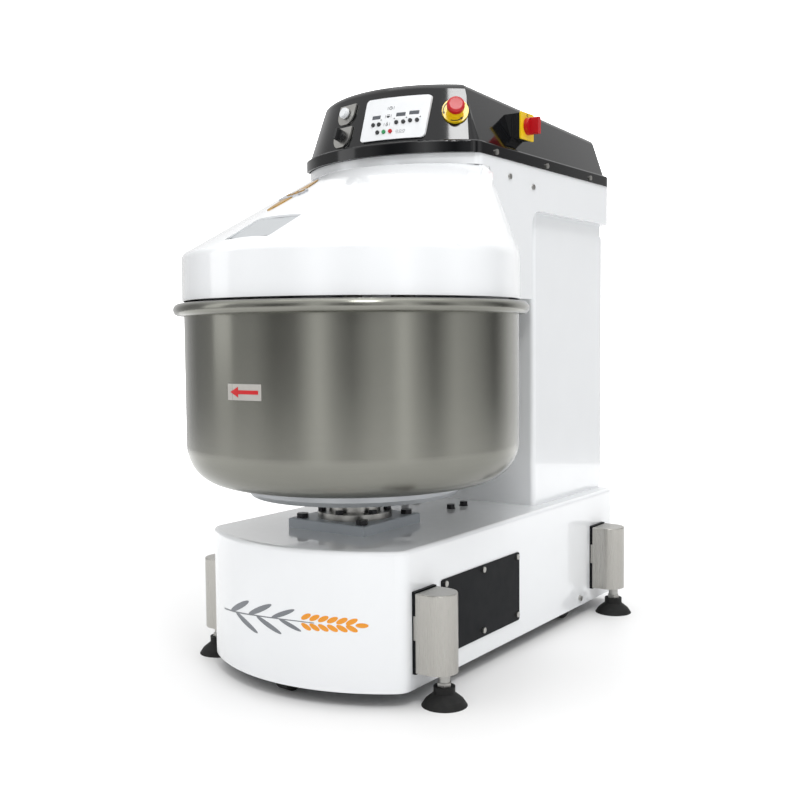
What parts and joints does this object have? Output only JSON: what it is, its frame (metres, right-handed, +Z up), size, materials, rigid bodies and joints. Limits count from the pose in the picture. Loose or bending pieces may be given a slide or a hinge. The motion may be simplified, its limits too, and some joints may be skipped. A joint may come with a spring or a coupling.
{
  "type": "spiral dough mixer",
  "caption": "Floor-standing spiral dough mixer: turning steel bowl, spiral and breaker bar under a lifting hood, column with black control cover, levelling feet and casters.",
  "frame": {"origin": "middle of the bounding box at floor level, under the feet", "axes": "+Z up, +X to the machine's right as seen from the front, front of the bowl towards -Y"},
  "size_m": [0.7999, 1.2769, 1.3289],
  "materials": {
    "white_paint": "glossy white powder coat",
    "black_gloss": "glossy black moulding",
    "stainless": "brushed stainless steel",
    "aluminium": "turned and cast aluminium",
    "grey_steel": "grey painted steel",
    "bright_steel": "machined and zinc plated steel",
    "black_plastic": "matt black",
    "foot_rubber": "black rubber",
    "belt_rubber": "ribbed belt",
    "white_plastic": "satin white plastic",
    "dark_window": "dark display window",
    "yellow_plastic": "yellow plastic",
    "red_plastic": "red plastic",
    "green_plastic": "green plastic",
    "dark_plastic": "dark key cap"
  },
  "bodies": {
    "machine": {"base_shell": "white_paint", "column_shell": "white_paint", "column_rear_cover": "white_paint", "head_shell": "white_paint", "top_cover": "black_gloss", "leg_housings": "stainless", "breaker_bar": "stainless", "bowl_motor": "aluminium", "spiral_motor": "aluminium", "bowl_bearing_plate": "grey_steel", "main_frame": "grey_steel", "head_beam": "grey_steel", "rear_caster_brackets": "grey_steel", "hood_hinge_brackets": "grey_steel", "electrical_box": "grey_steel", "bowl_bearing_housing": "bright_steel", "base_fasteners": "bright_steel", "housing_screws": "bright_steel", "drive_bearings": "bright_steel", "spiral_bearing_housing": "bright_steel", "switch_plates": "bright_steel", "side_panel": "black_plastic", "leg_brackets": "black_plastic", "main_switch_box": "black_plastic", "bowl_belt": "belt_rubber", "spiral_belt": "belt_rubber", "control_panel": "white_plastic", "display_windows": "dark_window", "estop_plate": "yellow_plastic", "main_switch_plate": "yellow_plastic"},
    "hood": {"hood": "white_paint"},
    "bowl": {"bowl": "stainless", "bowl_support_disc": "aluminium", "bowl_shaft": "bright_steel", "bowl_pulley": "aluminium"},
    "bowl_motor_rotor": {"bowl_motor_pulley": "aluminium"},
    "spiral": {"spiral_tool": "stainless", "spiral_pulley": "aluminium"},
    "spiral_motor_rotor": {"spiral_motor_pulley": "aluminium"},
    "estop": {"estop_button": "red_plastic"},
    "main_switch": {"main_switch_knob": "red_plastic"},
    "selector": {"selector_knob": "black_plastic"},
    "lamp": {"lamp_button": "white_plastic"},
    "front_caster": {"front_caster_fork": "grey_steel"},
    "front_wheel": {"front_caster_wheel": "foot_rubber"},
    "rear_left_wheel": {"rear_left_caster_wheel": "foot_rubber"},
    "rear_right_wheel": {"rear_right_caster_wheel": "foot_rubber"},
    "foot_front_left": {"front_left_foot": "foot_rubber"},
    "foot_front_right": {"front_right_foot": "foot_rubber"},
    "foot_rear_left": {"rear_left_foot": "foot_rubber"},
    "foot_rear_right": {"rear_right_foot": "foot_rubber"},
    "key_1": {"key_1": "dark_plastic"},
    "key_2": {"key_2": "dark_plastic"},
    "key_3": {"key_3": "dark_plastic"},
    "key_4": {"key_4": "dark_plastic"},
    "key_5": {"key_5": "dark_plastic"},
    "key_6": {"key_6": "dark_plastic"},
    "key_7": {"key_7": "dark_plastic"},
    "start_key": {"start_key": "green_plastic"},
    "stop_key": {"stop_key": "red_plastic"}
  },
  "joints": [
    {"name": "hood_lift", "type": "hinge", "parent": "machine", "child": "hood", "pos_m": [0, -0.1885, 1.125], "axis": [-1, 0, 0], "range_deg": [0, 50]},
    {"name": "bowl_spin", "type": "hinge", "parent": "machine", "child": "bowl", "pos_m": [0, -0.2385, 0.43], "axis": [0, 0, 1], "continuous": true},
    {"name": "bowl_motor_spin", "type": "hinge", "parent": "machine", "child": "bowl_motor_rotor", "pos_m": [0, 0.2615, 0.14], "axis": [0, 0, 1], "continuous": true},
    {"name": "spiral_spin", "type": "hinge", "parent": "machine", "child": "spiral", "pos_m": [0, -0.0385, 0.8], "axis": [0, 0, 1], "continuous": true},
    {"name": "spiral_motor_spin", "type": "hinge", "parent": "machine", "child": "spiral_motor_rotor", "pos_m": [0, 0.4115, 1.09], "axis": [0, 0, 1], "continuous": true},
    {"name": "estop_press", "type": "slide", "parent": "machine", "child": "estop", "axis": [-0.5441, 0.7801, -0.309], "range_m": [0, 0.005]},
    {"name": "main_switch_turn", "type": "hinge", "parent": "machine", "child": "main_switch", "pos_m": [0.262, 0.1135, 1.25], "axis": [1, 0, 0], "range_deg": [0, 90]},
    {"name": "selector_turn", "type": "hinge", "parent": "machine", "child": "selector", "pos_m": [-0.076, -0.16899, 1.221], "axis": [-0.206, -0.9285, 0.309], "range_deg": [-45, 45]},
    {"name": "lamp_button_press", "type": "slide", "parent": "machine", "child": "lamp", "axis": [0.2171, 0.9259, -0.309], "range_m": [0, 0.003], "stiffness_N_per_m": 600},
    {"name": "key_1_press", "type": "slide", "parent": "machine", "child": "key_1", "axis": [-0.0494, 0.9498, -0.309], "range_m": [0, 0.0015], "stiffness_N_per_m": 1000},
    {"name": "key_2_press", "type": "slide", "parent": "machine", "child": "key_2", "axis": [-0.0906, 0.9467, -0.309], "range_m": [0, 0.0015], "stiffness_N_per_m": 1000},
    {"name": "key_3_press", "type": "slide", "parent": "machine", "child": "key_3", "axis": [-0.2089, 0.9278, -0.309], "range_m": [0, 0.0015], "stiffness_N_per_m": 1000},
    {"name": "key_4_press", "type": "slide", "parent": "machine", "child": "key_4", "axis": [-0.2529, 0.9168, -0.309], "range_m": [0, 0.0015], "stiffness_N_per_m": 1000},
    {"name": "key_5_press", "type": "slide", "parent": "machine", "child": "key_5", "axis": [-0.2947, 0.9042, -0.309], "range_m": [0, 0.0015], "stiffness_N_per_m": 1000},
    {"name": "key_6_press", "type": "slide", "parent": "machine", "child": "key_6", "axis": [-0.336, 0.8897, -0.309], "range_m": [0, 0.0015], "stiffness_N_per_m": 1000},
    {"name": "key_7_press", "type": "slide", "parent": "machine", "child": "key_7", "axis": [-0.0891, 0.9469, -0.309], "range_m": [0, 0.0015], "stiffness_N_per_m": 1000},
    {"name": "start_key_press", "type": "slide", "parent": "machine", "child": "start_key", "axis": [-0.1322, 0.9418, -0.309], "range_m": [0, 0.0015], "stiffness_N_per_m": 1000},
    {"name": "stop_key_press", "type": "slide", "parent": "machine", "child": "stop_key", "axis": [-0.1754, 0.9347, -0.309], "range_m": [0, 0.0015], "stiffness_N_per_m": 1000},
    {"name": "front_left_foot_screw", "type": "slide", "parent": "machine", "child": "foot_front_left", "axis": [0, 0, 1], "range_m": [-0.03, 0]},
    {"name": "front_right_foot_screw", "type": "slide", "parent": "machine", "child": "foot_front_right", "axis": [0, 0, 1], "range_m": [-0.03, 0]},
    {"name": "rear_left_foot_screw", "type": "slide", "parent": "machine", "child": "foot_rear_left", "axis": [0, 0, 1], "range_m": [-0.03, 0]},
    {"name": "rear_right_foot_screw", "type": "slide", "parent": "machine", "child": "foot_rear_right", "axis": [0, 0, 1], "range_m": [-0.03, 0]},
    {"name": "front_caster_swivel", "type": "hinge", "parent": "machine", "child": "front_caster", "pos_m": [0, -0.4435, 0.11], "axis": [0, 0, 1], "continuous": true},
    {"name": "front_wheel_roll", "type": "hinge", "parent": "front_caster", "child": "front_wheel", "pos_m": [0, -0.4695, 0.043], "axis": [1, 0, 0], "continuous": true},
    {"name": "rear_left_wheel_roll", "type": "hinge", "parent": "machine", "child": "rear_left_wheel", "pos_m": [-0.228, 0.3515, 0.043], "axis": [1, 0, 0], "continuous": true},
    {"name": "rear_right_wheel_roll", "type": "hinge", "parent": "machine", "child": "rear_right_wheel", "pos_m": [0.228, 0.3515, 0.043], "axis": [1, 0, 0], "continuous": true}
  ],
  "couplings": [
    {"joint": "bowl_motor_spin", "follows": "bowl_spin", "ratio": 3.7586},
    {"joint": "spiral_motor_spin", "follows": "spiral_spin", "ratio": 2.2132}
  ]
}
